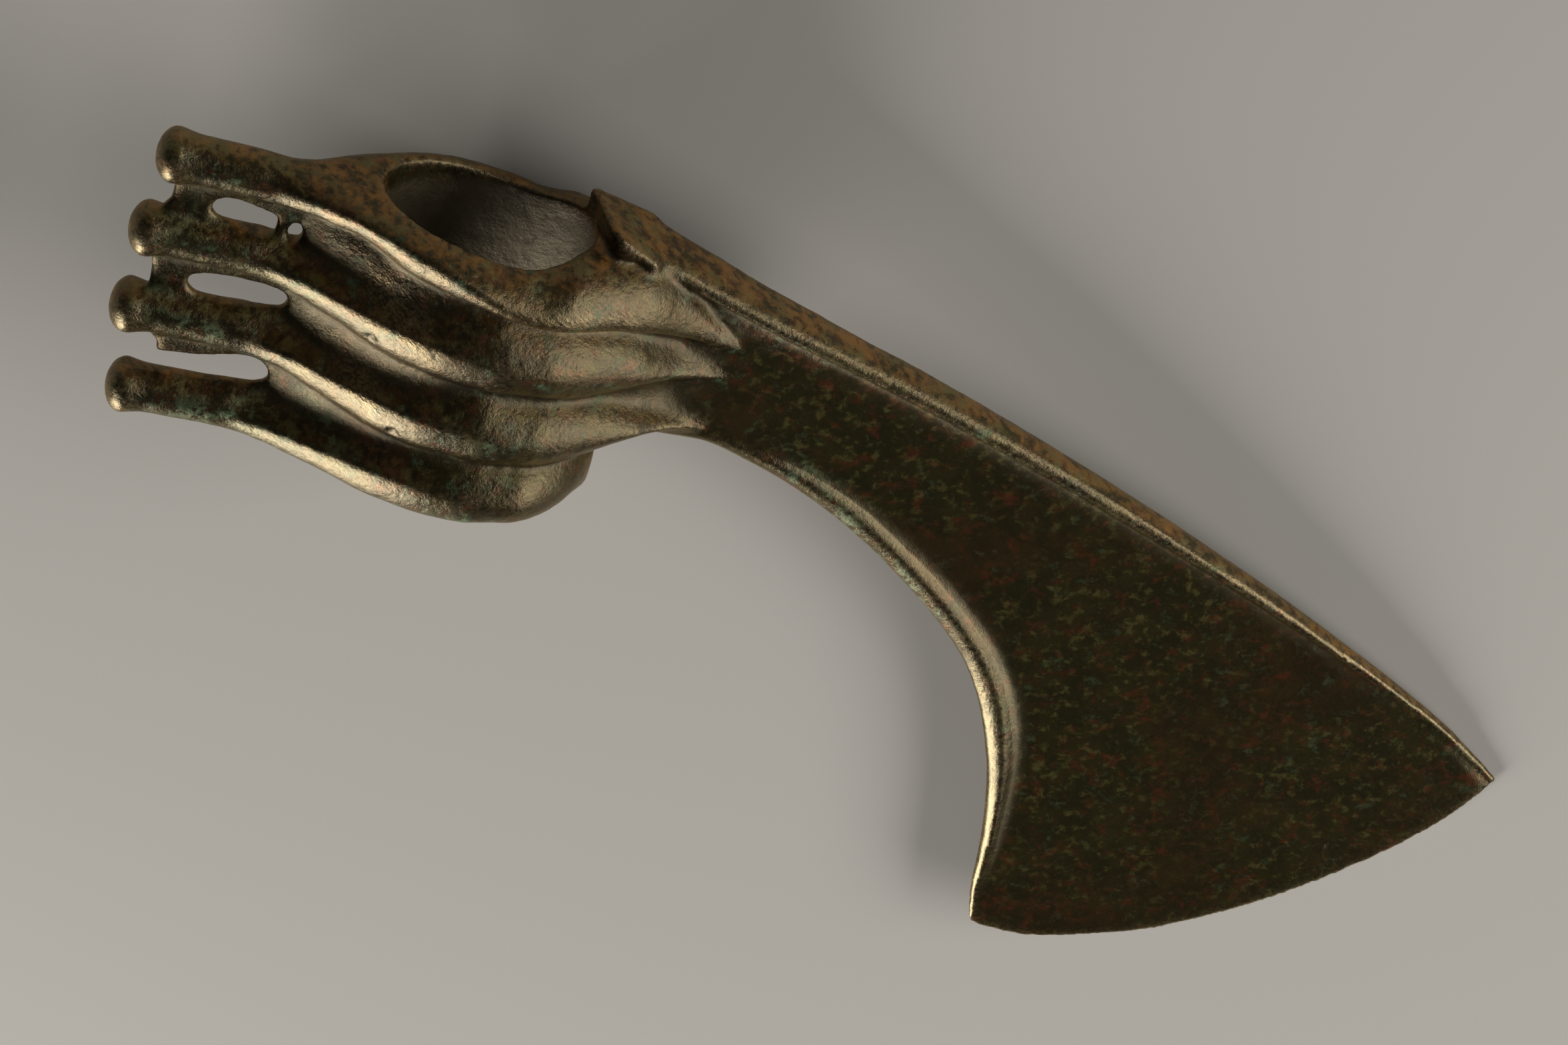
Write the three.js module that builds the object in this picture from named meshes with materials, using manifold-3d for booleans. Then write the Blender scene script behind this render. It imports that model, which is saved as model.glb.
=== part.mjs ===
// Bronze age axe head with a spiked butt, cast in one piece. Lengths are in millimetres.
// The casting is drawn in its own frame first: the origin is on the shaft axis at the top rim,
// +X points to the blade, +Y runs up the shaft axis and +Z is the thickness, the same on both faces.
// At the end it is laid on its side, as it lies when nothing holds it.
import * as THREE from 'three';
import Module from 'manifold-3d';
import { ParametricGeometry } from 'three/addons/geometries/ParametricGeometry.js';
import { mergeVertices } from 'three/addons/utils/BufferGeometryUtils.js';

// Shaft hole and socket
const HOLE_LENGTH = 32.2;
const HOLE_WIDTH = 20.8;
const HOLE_CENTRE_X = -0.5;
const SIDE_WALL = 6.2;
const RIB_ROUNDING = 5.0;
const VALLEY_DEPTH = 3.7;
const SOCKET_HALF = HOLE_WIDTH / 2 + SIDE_WALL;
const SOCKET_HEIGHT = 47.1;
const SWELL_X = 3;

// Spikes behind the socket, and how far the longest reaches from the shaft axis
const SPIKE_REACH = 53;
const SPIKE_RADIUS = 3.7;
const KNOB_RADIUS = 4.4;
const KNOB_LENGTH = 9;
const TIP_LENGTH = 3.0;
const WEB_THICKNESS = 1.7;

// Blade
const BLADE_REACH = 177.3;
const BLADE_DROP = 80.6;
const CORNER_X = 101.3;
const CORNER_Y = -125.8;
const PLATE_THICKNESS = 3.4;
const EDGE_BEVEL_THICKNESS = 1.5;
const PLATE_INSET = 0.015;
const TIP_THICKNESS = 1.3;
const RIDGE_START_X = 15.7;
const RIDGE_START_Y = 4.5;
const BLOCK_SKEW = 0.34;
const BLOCK_END_X = 24;
const BLOCK_THICKNESS = 12.6;
const RIDGE_WIDTH = 6.2;
const FLANGE_WIDTH = 6.0;
const FLANGE_THICKNESS = 5.4;

// Number of steps along and around the lofted forms
const RIB_STEPS = 32;
const RIB_SIDES = 16;
const HOLE_SIDES = 40;

// How much a hanging crest lengthens a rib's upper side and shortens its lower one
const HANG_ABOVE = 1.5;
const HANG_BELOW = 1.35;

const wasm = await Module();
wasm.setup();

// A smooth function through pairs of place and value, with no overshoot between them.
function through(pairs) {
  const slopes = pairs.slice(1).map(([x, y], i) => (y - pairs[i][1]) / (x - pairs[i][0]));
  const tangents = pairs.map((_, i) => {
    const before = slopes[Math.max(i - 1, 0)];
    const after = slopes[Math.min(i, slopes.length - 1)];
    return before * after <= 0 ? 0 : (2 * before * after) / (before + after);
  });
  return (x) => {
    if (x <= pairs[0][0]) return pairs[0][1];
    let i = 0;
    while (i < slopes.length - 1 && x > pairs[i + 1][0]) i += 1;
    const width = pairs[i + 1][0] - pairs[i][0];
    const t = Math.min((x - pairs[i][0]) / width, 1);
    const rise = pairs[i + 1][1] - pairs[i][1];
    const [start, end] = [tangents[i] * width - rise, tangents[i + 1] * width - rise];
    const bend = t * (1 - t) * ((1 - t) * start - t * end);
    return pairs[i][1] + rise * t + bend;
  };
}

// Points given as shares, placed by the two sizes they are shares of.
function spread(points, sizeX, sizeY) {
  return points.map(([x, y]) => [x * sizeX, y * sizeY]);
}

// A closed form swept through rings that are the same on both faces. ringPoint(u, share, face) gives the
// point at the share u along it, at a share of the way down the face 1 or -1. The first and last ring
// close on a point or on a line.
function loft(ringPoint, steps, sides) {
  const surface = new ParametricGeometry((u, v, target) => {
    const place = Math.round(v * sides) % sides;
    const face = place > sides / 2 ? -1 : 1;
    const share = (face < 0 ? sides - place : place) / (sides / 2);
    const onMiddle = share === 0 || share === 1;
    target.copy(ringPoint(u, share, face));
    if (onMiddle) target.z = 0;
  }, steps, sides);
  return solid(surface);
}

// The manifold solid of a closed three.js geometry.
function solid(geometry) {
  geometry.deleteAttribute('normal');
  geometry.deleteAttribute('uv');
  const merged = mergeVertices(geometry, 1e-5);
  const index = merged.index.array;
  const corners = [];
  for (let i = 0; i < index.length; i += 3) {
    const [a, b, c] = [index[i], index[i + 1], index[i + 2]];
    if (a !== b && b !== c && c !== a) corners.push(a, b, c);
  }
  const vertProperties = merged.attributes.position.array;
  const mesh = { numProp: 3, vertProperties, triVerts: Uint32Array.from(corners) };
  const body = new wasm.Manifold(new wasm.Mesh(mesh));
  if (body.volume() > 0) return body;
  for (let i = 0; i < corners.length; i += 3) [corners[i], corners[i + 1]] = [corners[i + 1], corners[i]];
  return new wasm.Manifold(new wasm.Mesh({ ...mesh, triVerts: Uint32Array.from(corners) }));
}

// Half thickness of the rib crests along X: bars behind, the bulge round the hole, the blade root in front.
const crest = through(spread([
  [-0.868, SPIKE_RADIUS], [-0.6226, 1.03 * SPIKE_RADIUS], [-0.5094, 0.34 * SOCKET_HALF],
  [-0.4151, 0.49 * SOCKET_HALF], [-0.3094, 0.66 * SOCKET_HALF], [-0.1774, 0.86 * SOCKET_HALF],
  [-0.0566, 0.97 * SOCKET_HALF], [SWELL_X / SPIKE_REACH, SOCKET_HALF], [0.2075, 0.93 * SOCKET_HALF],
  [0.283, 0.84 * SOCKET_HALF], [0.3774, 0.69 * SOCKET_HALF], [0.4906, 0.52 * SOCKET_HALF],
  [0.5962, 0.32 * SOCKET_HALF], [0.6792, 0.2 * SOCKET_HALF], [0.7925, 0.1 * SOCKET_HALF],
], SPIKE_REACH, 1));

// The lowest rib doesn't reach the blade. It closes round the front of the socket in a blunt nose.
const NOSE_START = 0.17;
const NOSE_LENGTH = 0.268;
function noseCrest(x) {
  const along = Math.max(0, (x / SPIKE_REACH - NOSE_START) / NOSE_LENGTH);
  return crest(x) * Math.sqrt(Math.max(0, 1 - along ** 2.6));
}

// Each rib as shares: places along X of SPIKE_REACH, places and heights along Y of SOCKET_HEIGHT. It has the
// place of its spike tip, its centre line, its half height below and above it, how its two sides slope, and
// how far its crest hangs below the centre line where the socket swells.
const HANGING_SIDE = [
  [-0.6226, 1], [-0.4906, 2.1], [-0.1509, 2.1], [0.1132, 1.1], [0.4528, 1], [0.6226, 1.5],
];
const FLARED_SIDE = [[0.3396, 1], [0.5283, 1.6]];
const HANG = [[-0.5849, 0], [-0.434, 0.0403], [-0.1887, 0.0488], [0.0943, 0]];
const EVEN = [[0, 1], [1, 1]];
const RIBS = [
  {
    tip: -0.9491,
    centre: [
      [-0.8679, 0.0552], [-0.6792, 0.034], [-0.5283, 0.0042], [-0.3774, -0.017], [-0.1887, -0.051],
      [0, -0.0892], [0.1415, -0.1338], [0.283, -0.155], [0.3774, -0.1656], [0.4717, -0.1911],
      [0.566, -0.2463], [0.6792, -0.3121], [0.7925, -0.3652],
    ],
    lower: [
      [-0.6792, SPIKE_RADIUS / SOCKET_HEIGHT], [-0.5283, 0.0701], [-0.3774, 0.0679], [-0.1887, 0.0998],
      [0, 0.0807], [0.1415, 0.0658], [0.283, 0.0722], [0.4717, 0.0849], [0.566, 0.0679], [0.6792, 0.0382],
      [0.7925, 0.0042],
    ],
    upper: [
      [-0.6792, SPIKE_RADIUS / SOCKET_HEIGHT], [-0.5283, 0.0849], [-0.3774, 0.0977], [-0.1887, 0.1019],
      [0, 0.0892], [0.1415, 0.1125], [0.283, 0.1614], [0.3774, 0.1529], [0.4717, 0.1465], [0.566, 0.1189],
      [0.6792, 0.0701], [0.7925, 0.0064],
    ],
    upperSlope: [[-0.6415, 1], [-0.4528, 1.8], [0.3019, 1.8], [0.4717, 0.9], [0.6038, 0.65]],
    lowerSlope: EVEN,
    hang: [[0, 0], [1, 0]],
    crest,
  },
  {
    tip: -0.9868,
    centre: [
      [-0.8679, -0.2399], [-0.5283, -0.2739], [-0.1887, -0.3057], [0, -0.3185], [0.217, -0.3567],
      [0.3774, -0.3864], [0.5849, -0.4331], [0.766, -0.4713],
    ],
    lower: [
      [-0.6792, SPIKE_RADIUS / SOCKET_HEIGHT], [-0.5283, 0.0955], [-0.3774, 0.1231], [-0.1887, 0.1465],
      [0, 0.1507], [0.217, 0.1507], [0.3774, 0.1465], [0.4906, 0.1295], [0.5849, 0.0977], [0.6792, 0.0552],
      [0.766, 0.0042],
    ],
    upperSlope: HANGING_SIDE,
    lowerSlope: FLARED_SIDE,
    hang: HANG,
    crest,
  },
  {
    tip: -1,
    centre: [
      [-0.8679, -0.5499], [-0.5283, -0.5754], [-0.1887, -0.5987], [0, -0.6072], [0.217, -0.6412],
      [0.3774, -0.6476], [0.6358, -0.6561],
    ],
    lower: [
      [-0.6792, SPIKE_RADIUS / SOCKET_HEIGHT], [-0.5283, 0.0955], [-0.3774, 0.1231], [-0.1887, 0.1465],
      [0, 0.1486], [0.217, 0.1444], [0.3585, 0.1295], [0.4717, 0.0977], [0.5472, 0.0594], [0.6358, 0.0042],
    ],
    upperSlope: HANGING_SIDE,
    lowerSlope: FLARED_SIDE,
    hang: HANG,
    crest,
  },
  {
    tip: -0.9698,
    centre: [
      [-0.8679, -0.8705], [-0.5283, -0.8854], [-0.1887, -0.8641], [0, -0.8684], [0.217, -0.879],
      [0.4377, -0.8747],
    ],
    lower: [
      [-0.6792, SPIKE_RADIUS / SOCKET_HEIGHT], [-0.5283, 0.0955], [-0.3774, 0.1125], [-0.1887, 0.138],
      [0, 0.1444], [0.283, 0.1444], [0.3585, 0.1316], [0.4377, 0.1062],
    ],
    upperSlope: HANGING_SIDE,
    lowerSlope: EVEN,
    hang: HANG,
    crest: noseCrest,
  },
];

// One rib with its spike: an upright section with a flat middle and rounded caps, swept along X. Where the
// crest hangs, the section falls away below it in a short round side and above it in a long hollow one.
const TIP_SHARE = 0.15;
function rib({ tip, centre, lower, upper = lower, upperSlope, lowerSlope, hang, crest: crestAt }) {
  const placed = (pairs, size) => through(spread(pairs, SPIKE_REACH, size));
  const heights = [centre, lower, upper, hang];
  const [centreAt, lowerAt, upperAt, hangAt] = heights.map((pairs) => placed(pairs, SOCKET_HEIGHT));
  const [upperPower, lowerPower] = [upperSlope, lowerSlope].map((pairs) => placed(pairs, 1));
  const end = lower[lower.length - 1][0] * SPIKE_REACH;
  const tipX = tip * SPIKE_REACH;
  const knobX = tipX + TIP_LENGTH;
  const knobSwell = KNOB_RADIUS / SPIKE_RADIUS - 1;
  const ringPoint = (u, share, face) => {
    const inTip = u < TIP_SHARE;
    const along = inTip ? 1 - Math.cos((u / TIP_SHARE) * Math.PI / 2) : 1;
    const x = inTip ? tipX + TIP_LENGTH * along : knobX + (end - knobX) * ((u - TIP_SHARE) / (1 - TIP_SHARE));
    const closing = u === 1 ? 0 : Math.sqrt(Math.max(0, 1 - (1 - along) ** 2));
    const swell = (1 + knobSwell * Math.max(0, 1 - Math.max(0, x - knobX) / KNOB_LENGTH) ** 2) * closing;
    const above = share < 0.5;
    const hung = hangAt(x);
    const height = (above ? upperAt(x) + HANG_ABOVE * hung : lowerAt(x) - HANG_BELOW * hung) * swell;
    const reach = crestAt(x) * swell;
    const cap = Math.min(RIB_ROUNDING, reach);
    const power = above ? upperPower(x) : lowerPower(x);
    const turn = share * Math.PI;
    const z = face * (Math.sin(turn) ** power * cap + reach - cap);
    const y = centreAt(x) - hung + height * Math.sign(Math.cos(turn)) * Math.abs(Math.cos(turn)) ** power;
    return new THREE.Vector3(x, y, z);
  };
  return loft(ringPoint, RIB_STEPS, RIB_SIDES);
}

// The socket body between the ribs: it shows only as the floor of the valleys.
function socketBody() {
  const top = through(spread([
    [-0.5189, -0.0637], [-0.3774, -0.0531], [0, -0.1062], [0.283, -0.1274], [0.566, -0.2335],
    [0.717, -0.3185],
  ], SPIKE_REACH, SOCKET_HEIGHT));
  const bottom = through(spread([
    [-0.5189, -0.828], [0, -0.8493], [0.3019, -0.828], [0.4717, -0.6688], [0.717, -0.6582],
  ], SPIKE_REACH, SOCKET_HEIGHT));
  const start = -0.519 * SPIKE_REACH;
  const end = 0.717 * SPIKE_REACH;
  const ringPoint = (u, share, face) => {
    const x = start + (end - start) * u;
    const closed = u === 0 || u === 1 ? 0 : 1;
    const reach = Math.max(crest(x) - VALLEY_DEPTH, WEB_THICKNESS / 6) * closed;
    const turn = share * Math.PI;
    const middle = (top(x) + bottom(x)) / 2;
    const half = (top(x) - bottom(x)) / 2;
    const flatten = (wave) => Math.sign(wave) * Math.abs(wave) ** 0.35;
    const y = middle + half * flatten(Math.cos(turn));
    return new THREE.Vector3(x, y, face * reach * flatten(Math.sin(turn)));
  };
  return loft(ringPoint, 18, 16);
}

// A flat plate of an outline in the XY plane, even on both sides of the middle plane.
function plate(outline, thickness) {
  const options = { depth: thickness, bevelEnabled: false, curveSegments: 8 };
  const geometry = new THREE.ExtrudeGeometry(outline, options);
  geometry.translate(0, 0, -thickness / 2);
  return solid(geometry);
}

// The gaps and the small hole that the casting left between the spikes: two ends and a width, as shares too.
const SLOTS = [
  [[-0.7415, -0.1146], [-0.6113, -0.1507], 0.0722],
  [[-0.5283, -0.1529], [-0.5283, -0.1741], 0.0552],
  [[-0.7472, -0.4246], [-0.5623, -0.4437], 0.1104],
  [[-0.9811, -0.7346], [-0.7547, -0.7282], 0.0382],
  [[-0.7057, -0.7282], [-0.566, -0.7325], 0.0977],
];

// A slot with round ends.
function slot([start, end, width]) {
  const [[x0, y0], [x1, y1]] = spread([start, end], SPIKE_REACH, SOCKET_HEIGHT);
  const turn = Math.atan2(y1 - y0, x1 - x0);
  const radius = width * SOCKET_HEIGHT / 2;
  const shape = new THREE.Shape();
  shape.absarc(x1, y1, radius, turn - Math.PI / 2, turn + Math.PI / 2, false);
  shape.absarc(x0, y0, radius, turn + Math.PI / 2, turn + 1.5 * Math.PI, false);
  return plate(shape, SOCKET_HALF);
}

// The socket body and the thin webs that tie the spikes together.
function webbedBody() {
  const outline = new THREE.Shape(spread([
    [-0.8792, 0.0212], [-0.883, -0.1062], [-0.9094, -0.1529], [-0.917, -0.2335], [-0.9019, -0.3822],
    [-0.9019, -0.4671], [-0.9283, -0.5308], [-0.8962, -0.6157], [-0.8491, -0.6709], [-0.8491, -0.7728],
    [-0.8962, -0.7856], [-0.9057, -0.8705], [-0.4528, -0.8917], [-0.4528, 0.0212],
  ], SPIKE_REACH, SOCKET_HEIGHT).map(([x, y]) => new THREE.Vector2(x, y)));
  let body = socketBody().add(plate(outline, WEB_THICKNESS));
  for (const gap of SLOTS) body = body.subtract(slot(gap));
  return body;
}

// Outlines of the blade in the middle plane. The back and the cutting edge are shares of BLADE_REACH and
// BLADE_DROP, the hollow edge of its corner's place.
const outlineCurve = (points) => new THREE.CatmullRomCurve3(
  points.map(([x, y]) => new THREE.Vector3(x, y, 0)), false, 'centripetal',
);
const BACK = outlineCurve([[RIDGE_START_X, RIDGE_START_Y], ...spread([
  [0.2532, 0.103], [0.427, 0.2618], [0.643, 0.495], [0.8099, 0.7035], [0.9408, 0.8908], [1, 1],
], BLADE_REACH, -BLADE_DROP)]);
const HOLLOW = outlineCurve(spread([
  [0.2665, 0.2798], [0.3653, 0.2798], [0.4689, 0.306], [0.5913, 0.3585], [0.7078, 0.4308],
  [0.7976, 0.4992], [0.8727, 0.5739], [0.924, 0.6614], [0.9605, 0.7631], [0.9803, 0.8704], [0.9862, 0.938],
  [1, 1],
], CORNER_X, CORNER_Y));
const CUTTING_EDGE = outlineCurve([[CORNER_X, CORNER_Y], ...spread([
  [0.6221, 1.5782], [0.7135, 1.5385], [0.7795, 1.4715], [0.8488, 1.3734], [0.921, 1.237], [0.9707, 1.1129],
  [1, 1],
], BLADE_REACH, -BLADE_DROP)]);

const CORNER = new THREE.Vector3(CORNER_X, CORNER_Y, 0);

// The thin plate of the blade, drawn as a fan of lines between the back and the hollow edge.
function bladePlate() {
  const ringPoint = (u, across, face) => {
    const fan = Math.min(u / 0.86, 1);
    const back = BACK.getPoint(fan);
    const hollow = HOLLOW.getPoint(fan);
    const inset = PLATE_INSET * (1 - u);
    const point = back.clone().lerp(hollow, inset + (1 - 2 * inset) * across);
    const straight = new THREE.Vector3(BLADE_REACH, -BLADE_DROP, 0).lerp(CORNER, across);
    const bulge = CUTTING_EDGE.getPoint(1 - across).sub(straight);
    const swing = Math.max(0, (u - 0.5) / 0.5);
    point.addScaledVector(bulge, swing * swing);
    const closing = Math.min(1, (1 - u) / 0.06);
    const bevel = EDGE_BEVEL_THICKNESS / 2;
    const thinning = Math.min(1, Math.max(0, (u - 0.15) / 0.75));
    const body = PLATE_THICKNESS / 2 - (PLATE_THICKNESS / 2 - bevel) * thinning;
    const open = u === 0 || u === 1 ? 0 : 1;
    point.z = face * open * body * closing;
    return point;
  };
  return loft(ringPoint, 24, 20);
}

// The thick back ridge: a square block at the socket, then a flat-topped bar with a hollow inner face.
function ridge() {
  const half = through(spread([
    [0.0846, 0.5], [0.1387, 0.5], [0.148, 0.377], [0.2538, 0.3373], [0.3384, 0.2937], [0.4287, 0.2659],
    [0.5358, 0.2341], [0.643, 0.2063], [0.7389, 0.1746], [0.846, 0.1429], [0.9419, 0.0913],
    [1, TIP_THICKNESS / BLOCK_THICKNESS / 2],
  ], BLADE_REACH, BLOCK_THICKNESS));
  const width = through(spread([
    [0.0846, 0.9677], [0.3384, 1], [0.4512, 1], [0.643, 0.8387], [0.8065, 0.5968], [0.9419, 0.3387],
    [1, 0.1613],
  ], BLADE_REACH, RIDGE_WIDTH));
  const profile = [
    [0, 0], [0.02, 0.86], [0.14, 1], [0.32, 0.98], [0.5, 0.76], [0.72, 0.54], [1, 0.48], [1.08, 0.3],
    [1.15, 0],
  ];
  const steps = 28;
  const ringPoint = (u, share, face) => {
    const closed = u === 0 || u === 1 ? 0 : 1;
    const step = (u * steps - 1) / (steps - 2);
    const point = BACK.getPoint(Math.min(1, Math.max(0, step)));
    const [down, out] = profile[Math.round(share * (profile.length - 1))];
    point.y -= down * width(point.x) * closed + (1 - closed) * 0.4 * width(point.x);
    point.z = face * out * half(point.x) * closed;
    point.x += BLOCK_SKEW * point.z * Math.max(0, (BLOCK_END_X - point.x) / (BLOCK_END_X - RIDGE_START_X));
    return point;
  };
  return loft(ringPoint, steps, 2 * (profile.length - 1));
}

// The rounded bead along the hollow edge.
function flange() {
  const half = through([[0, 0.5], [0.12, 0.8], [0.3, 1], [0.7, 1], [0.86, 0.72], [1, 0.28]]);
  const width = through([[0, 0.5], [0.15, 0.8], [0.3, 1], [0.62, 1], [0.8, 0.6], [1, 0.2]]);
  const ringPoint = (u, share, face) => {
    const closed = u === 0 || u === 1 ? 0 : 1;
    const point = HOLLOW.getPoint(u);
    const along = HOLLOW.getTangent(u);
    const inward = new THREE.Vector3(-along.y, along.x, 0);
    const turn = share * Math.PI;
    const reach = FLANGE_WIDTH * width(u) / 2;
    point.addScaledVector(inward, reach + closed * reach * -Math.cos(turn));
    point.z = closed * face * Math.sin(turn) * FLANGE_THICKNESS / 2 * half(u);
    return point;
  };
  return loft(ringPoint, 26, 12);
}

// The oval shaft hole, cut right through along Y.
function shaftHole() {
  const tool = new THREE.CylinderGeometry(1, 1, 3 * SOCKET_HEIGHT, HOLE_SIDES);
  tool.scale(HOLE_LENGTH / 2, 1, HOLE_WIDTH / 2);
  tool.translate(HOLE_CENTRE_X, -SOCKET_HEIGHT / 2, 0);
  return solid(tool);
}

// A block that trims the foot of the socket to a flat rim.
function footTrim() {
  const block = new THREE.BoxGeometry(2 * SPIKE_REACH, SOCKET_HALF, 4 * SOCKET_HALF);
  block.translate(0, -SOCKET_HEIGHT - SOCKET_HALF / 2, 0);
  return solid(block);
}

function axeHead() {
  let body = webbedBody();
  for (const shape of [...RIBS.map(rib), bladePlate(), ridge(), flange()]) body = body.add(shape);
  body = body.subtract(shaftHole()).subtract(footTrim());
  const { vertProperties, triVerts } = body.getMesh();
  const geometry = new THREE.BufferGeometry();
  geometry.setAttribute('position', new THREE.BufferAttribute(Float32Array.from(vertProperties), 3));
  geometry.setIndex(Array.from(triVerts));
  // The head leans on its swollen side and on the tip of the blade.
  const lean = Math.atan((SOCKET_HALF - TIP_THICKNESS / 2) / (BLADE_REACH - SWELL_X));
  geometry.rotateY(lean);
  geometry.computeBoundingBox();
  const { min, max } = geometry.boundingBox;
  geometry.translate(-(min.x + max.x) / 2, -(min.y + max.y) / 2, -min.z);
  return geometry;
}

const bronze = new THREE.MeshStandardMaterial({ color: 0x3b3322, roughness: 0.42, metalness: 0.85 });
const head = new THREE.Mesh(axeHead(), bronze);
head.name = 'axe_head';

const axe = new THREE.Group();
axe.add(head);

export default axe;
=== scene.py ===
"""A cast bronze axe head with a spiked butt, lying on its side under soft studio light."""
import math
from typing import NamedTuple

import bmesh
import bpy
import numpy as np
from bpy.props import FloatProperty, FloatVectorProperty, PointerProperty
from mathutils import Matrix, Vector, noise


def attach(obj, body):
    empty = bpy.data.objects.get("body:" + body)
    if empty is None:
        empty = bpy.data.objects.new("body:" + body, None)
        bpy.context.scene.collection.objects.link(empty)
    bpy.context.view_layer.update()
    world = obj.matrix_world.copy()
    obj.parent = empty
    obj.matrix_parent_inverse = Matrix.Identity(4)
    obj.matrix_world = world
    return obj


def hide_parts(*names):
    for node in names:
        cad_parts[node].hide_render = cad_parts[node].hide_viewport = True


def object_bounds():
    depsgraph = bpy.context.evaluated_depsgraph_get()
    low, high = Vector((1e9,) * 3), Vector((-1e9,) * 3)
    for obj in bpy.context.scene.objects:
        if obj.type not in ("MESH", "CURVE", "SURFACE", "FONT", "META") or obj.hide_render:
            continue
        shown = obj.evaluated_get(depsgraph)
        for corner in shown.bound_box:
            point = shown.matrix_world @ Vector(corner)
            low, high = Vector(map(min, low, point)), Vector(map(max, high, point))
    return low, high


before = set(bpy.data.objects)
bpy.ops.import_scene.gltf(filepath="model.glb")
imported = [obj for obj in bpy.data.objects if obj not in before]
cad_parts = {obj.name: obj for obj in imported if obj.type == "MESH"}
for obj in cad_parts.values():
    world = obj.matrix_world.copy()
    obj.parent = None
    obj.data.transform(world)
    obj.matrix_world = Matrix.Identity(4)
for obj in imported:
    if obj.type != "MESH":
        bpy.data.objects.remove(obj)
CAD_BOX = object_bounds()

bl_info = {
    "name": "Bronze axe head",
    "version": (1, 0, 0),
    "blender": (4, 5, 0),
    "location": "View3D > Sidebar > Axe head",
    "description": "Builds a cast bronze axe head with its patina, and a plain studio",
    "category": "Object",
}

# Shapes are drawn in the casting's own axes, in millimetres: X to the blade, Y up the shaft hole and Z to
# the viewer. The finished head is then laid down in the frame, in metres.
MM = 0.001

# Where the casting's own origin, the shaft axis at the top rim, lies in the frame.
CASTING_ORIGIN = Vector((-61.921, 60.058, 16.884))
# The middle of the shaft hole along X, the foot rim's height, and where the rib crests stand out furthest.
HOLE_CENTRE_X = -0.5
FOOT_Y = -47.1
CREST_TOP_X = 3.0
# Half thickness on which the lying head touches the floor at the blade's tip.
TIP_REST = 0.65
# The most triangles that the finished mesh keeps.
TRIANGLES = 196000

# The photograph's frame in pixels, where the casting's origin shows in it, and the pixels per millimetre.
PHOTO_WIDTH = 2353
PHOTO_HEIGHT = 1568
ORIGIN_PIXEL = (739, 325)
ORIGIN_SCALE = 10.2
# The lens and the width of the sensor, in millimetres.
FOCAL_LENGTH = 150.0
SENSOR_WIDTH = 36.0
# The directions from the casting's origin to the camera and to the photograph's right, in casting axes.
TO_CAMERA = Vector((-0.110, 0.592, 0.799)).normalized()
TO_RIGHT = Vector((0.983, 0.182, 0.0)).normalized()


class AxeSizes(bpy.types.PropertyGroup):
    """The sizes of the casting."""
    hole_length: FloatProperty(
        name="Hole length", description="Length of the oval shaft hole", default=32.2 * MM, unit="LENGTH")
    hole_width: FloatProperty(
        name="Hole width", description="Width of the oval shaft hole", default=20.8 * MM, unit="LENGTH")
    side_wall: FloatProperty(
        name="Side wall", description="From the hole to the crest of a rib",
        default=6.2 * MM, unit="LENGTH")
    rib_rounding: FloatProperty(
        name="Rib rounding", description="Depth of the rounded cap of a rib",
        default=5.0 * MM, unit="LENGTH")
    valley_depth: FloatProperty(
        name="Valley depth", description="Depth of the grooves between ribs",
        default=3.7 * MM, unit="LENGTH")
    spike_radius: FloatProperty(
        name="Spike radius", description="Radius of the free spikes", default=3.7 * MM, unit="LENGTH")
    knob_radius: FloatProperty(
        name="Knob radius", description="Radius of the swollen spike tips", default=4.4 * MM, unit="LENGTH")
    web_thickness: FloatProperty(
        name="Web thickness", description="Thickness of the webs between the spikes",
        default=1.7 * MM, unit="LENGTH")
    plate_thickness: FloatProperty(
        name="Plate thickness", description="Thickness of the blade's plate",
        default=3.4 * MM, unit="LENGTH")
    ridge_width: FloatProperty(
        name="Ridge width", description="Width of the thick back of the blade",
        default=6.2 * MM, unit="LENGTH")
    flange_width: FloatProperty(
        name="Flange width", description="Width of the bead along the hollow edge",
        default=6.0 * MM, unit="LENGTH")
    flange_thickness: FloatProperty(
        name="Flange thickness", description="Thickness of that bead", default=5.4 * MM, unit="LENGTH")
    surface_step: FloatProperty(
        name="Surface step", description="Step of the fused surface mesh", default=0.46 * MM, unit="LENGTH")


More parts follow.
